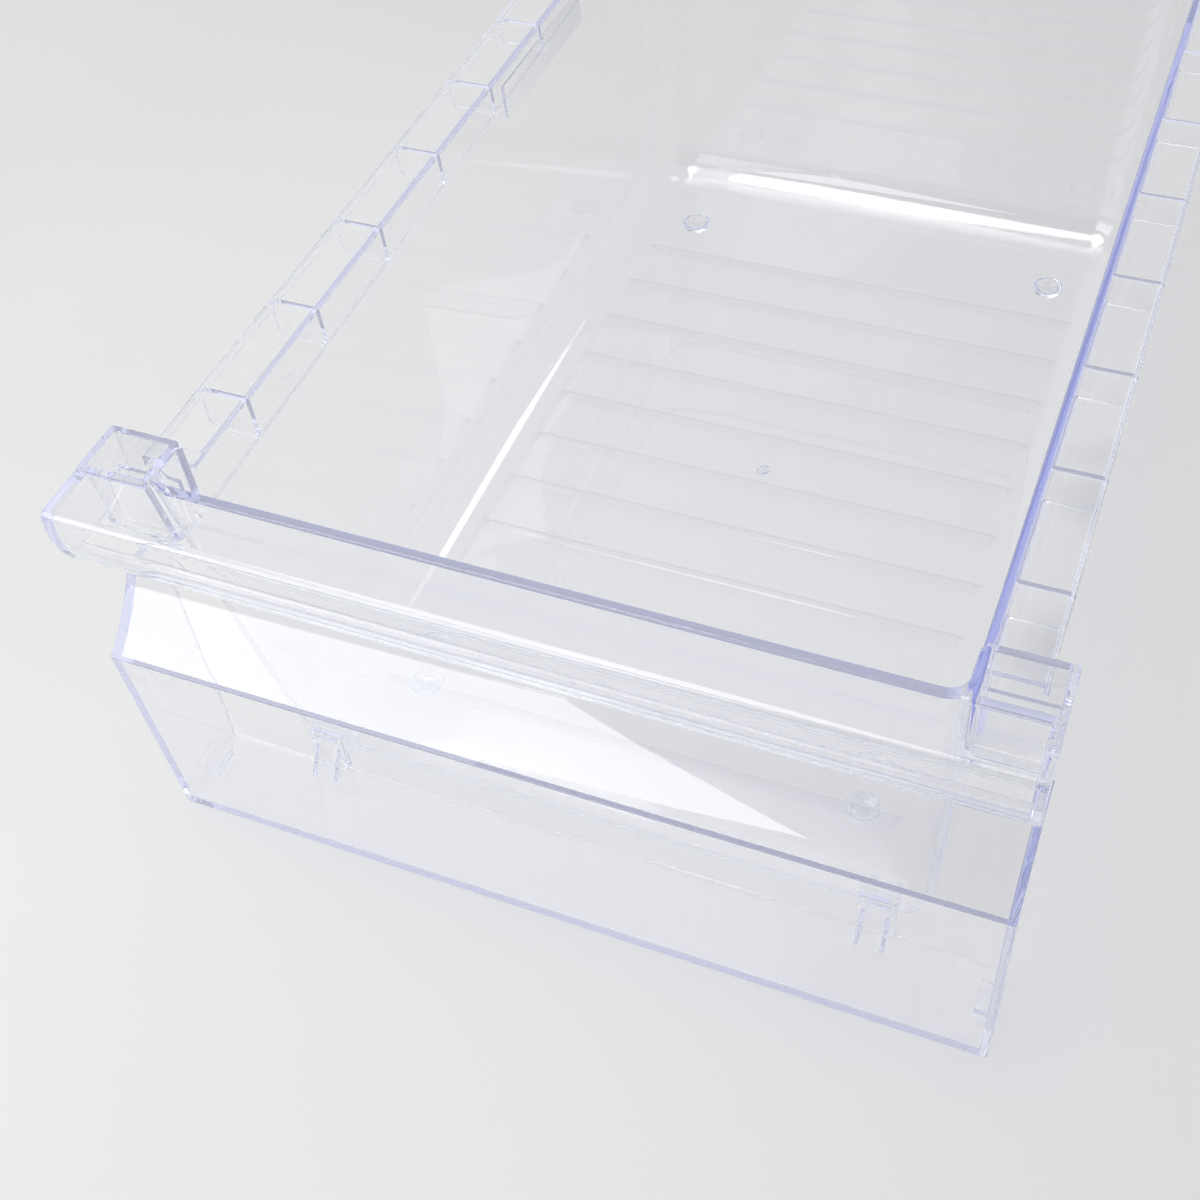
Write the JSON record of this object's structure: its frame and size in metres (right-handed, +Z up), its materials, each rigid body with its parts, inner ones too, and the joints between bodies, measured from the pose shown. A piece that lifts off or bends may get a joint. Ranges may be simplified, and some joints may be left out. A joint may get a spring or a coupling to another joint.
{
  "type": "refrigerator crisper drawer",
  "caption": "Clear drafted drawer tub with a stepped floor, ribbed side rims, full-width finger handle, open end wells and a hollow clip-on front panel.",
  "frame": {"origin": "bottom centre of the drawer's bounding box, on the surface that it stands on", "axes": "+Z up, +Y from the front handle to the rear rim, +X to the right as seen from the front"},
  "size_m": [0.31, 0.463, 0.167],
  "materials": {
    "bin_plastic": "clear, glossy, with a faint lavender tint that shows at cut edges",
    "panel_plastic": "clear, glossy, with a faint lavender tint that shows at cut edges"
  },
  "bodies": {
    "bin": {"bin_tub": "bin_plastic", "rear_flange": "bin_plastic", "handle_top": "bin_plastic", "handle_lip": "bin_plastic", "left_side_flange": "bin_plastic", "left_end_well": "bin_plastic", "left_handle_end": "bin_plastic", "left_rib_1": "bin_plastic", "left_rib_2": "bin_plastic", "left_rib_3": "bin_plastic", "left_rib_4": "bin_plastic", "left_rib_5": "bin_plastic", "left_rib_6": "bin_plastic", "left_rib_7": "bin_plastic", "left_rib_8": "bin_plastic", "left_front_foot": "bin_plastic", "left_rear_foot": "bin_plastic", "right_side_flange": "bin_plastic", "right_end_well": "bin_plastic", "right_handle_end": "bin_plastic", "right_rib_1": "bin_plastic", "right_rib_2": "bin_plastic", "right_rib_3": "bin_plastic", "right_rib_4": "bin_plastic", "right_rib_5": "bin_plastic", "right_rib_6": "bin_plastic", "right_rib_7": "bin_plastic", "right_rib_8": "bin_plastic", "right_front_foot": "bin_plastic", "right_rear_foot": "bin_plastic"},
    "clip_on_front": {"front_panel": "panel_plastic", "left_clip_hook": "panel_plastic", "right_clip_hook": "panel_plastic"}
  },
  "joints": [
    {"name": "front_panel_release", "type": "slide", "parent": "bin", "child": "clip_on_front", "axis": [0, -1, 0], "range_m": [0, 0.05]}
  ]
}
